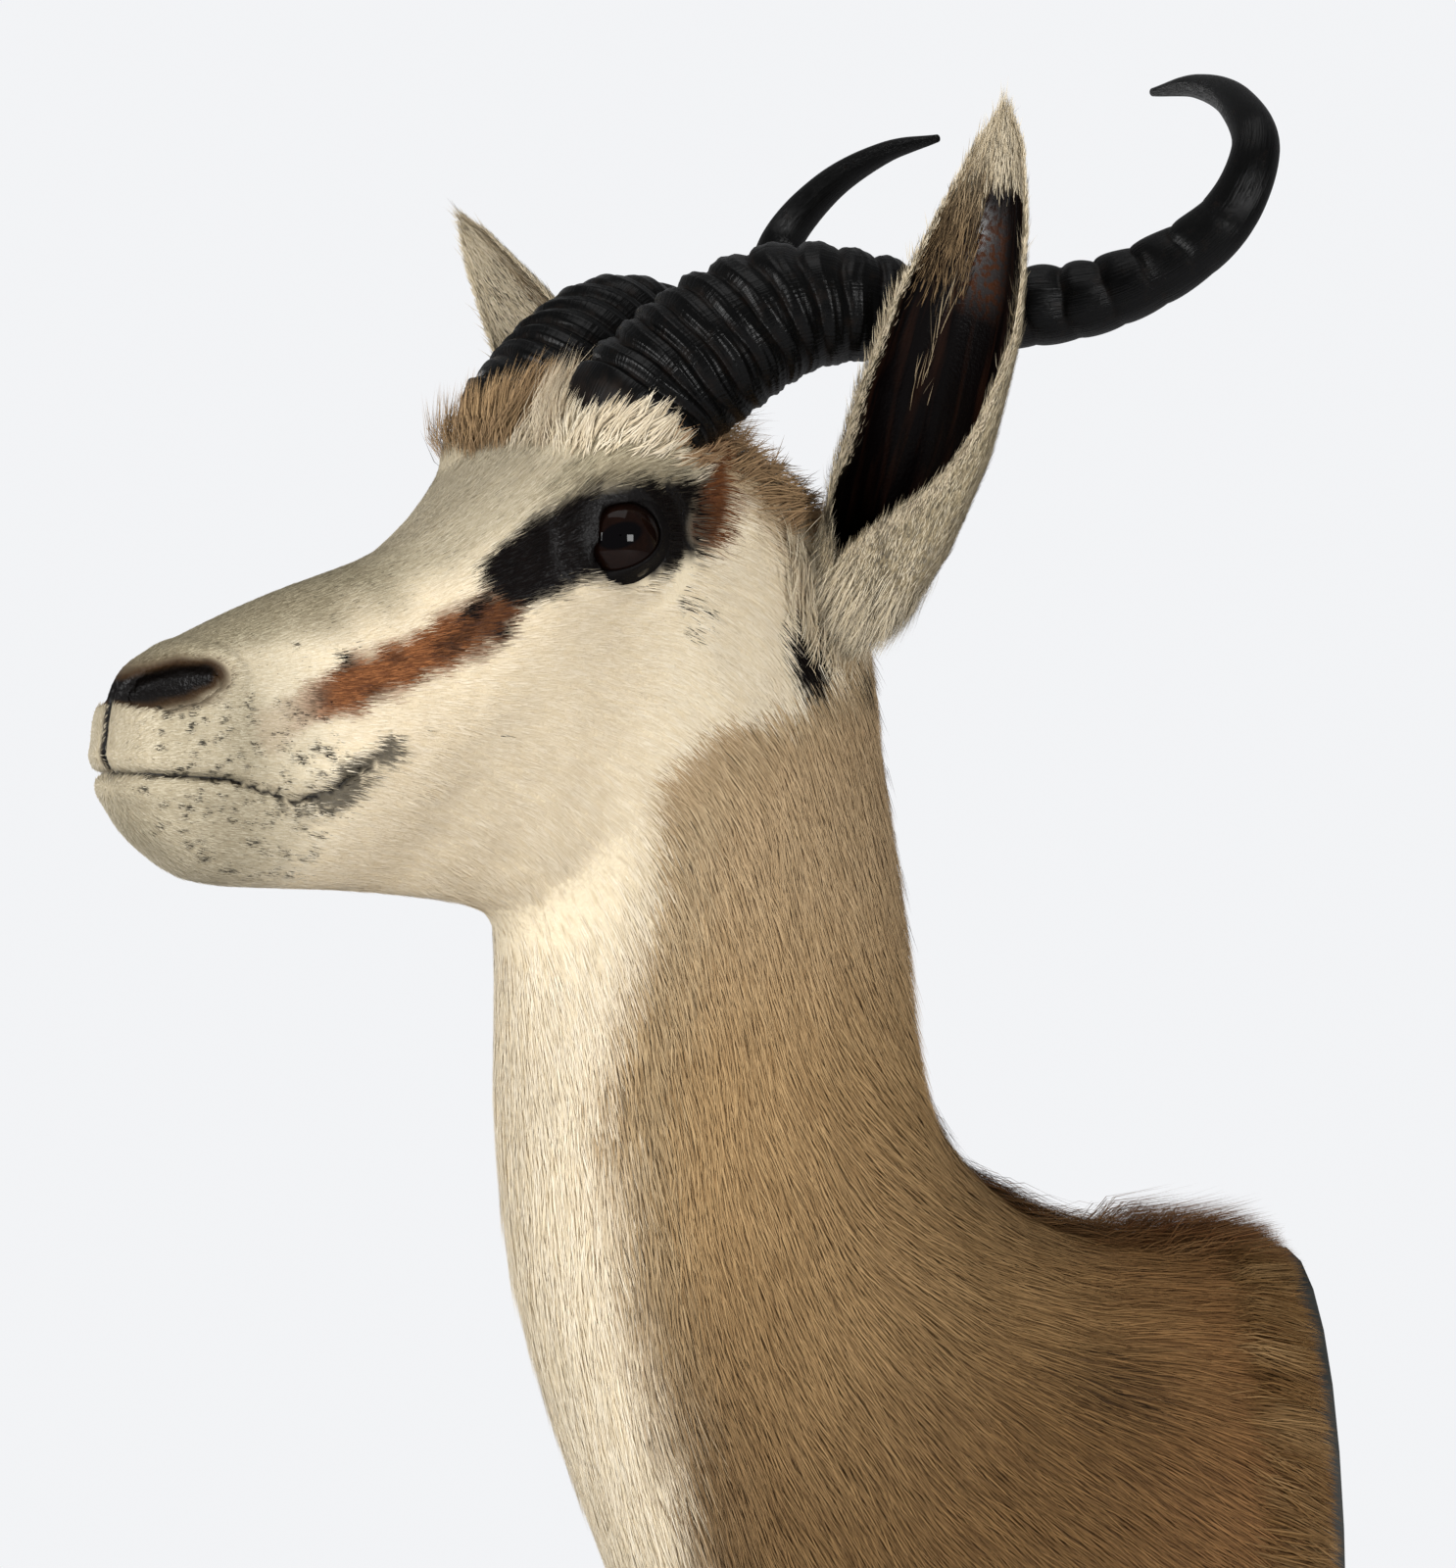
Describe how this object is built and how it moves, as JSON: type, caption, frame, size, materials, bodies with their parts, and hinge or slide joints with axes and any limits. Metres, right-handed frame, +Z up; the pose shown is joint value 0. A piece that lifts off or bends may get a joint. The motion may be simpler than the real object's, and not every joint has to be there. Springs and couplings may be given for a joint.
{
  "type": "springbok shoulder mount",
  "caption": "Taxidermy shoulder mount of a springbok: haired hide over a form, ringed horns hooked at the tips, upright ears, glass eyes and a thin back panel that hangs on a wall.",
  "frame": {"origin": "on the back panel's rear face, near its middle, on the wall", "axes": "+Z up, +Y into the wall, so the animal looks out along -Y with its left side at +X"},
  "size_m": [0.2744, 0.3575, 0.5708],
  "materials": {
    "hide": "hair-on hide, tan with a cream face, throat and chest",
    "ear": "short hair outside, bare dark skin inside",
    "horn": "semi-gloss black keratin",
    "eye": "polished dark brown glass",
    "panel": "dark painted thin board",
    "hanger": "zinc-plated sheet steel"
  },
  "bodies": {
    "root": {"hide": "hide", "ear_left": "ear", "ear_right": "ear", "horn_left": "horn", "horn_right": "horn", "eye_left": "eye", "eye_right": "eye", "back_panel": "panel", "hanger_plate": "hanger"}
  },
  "joints": []
}
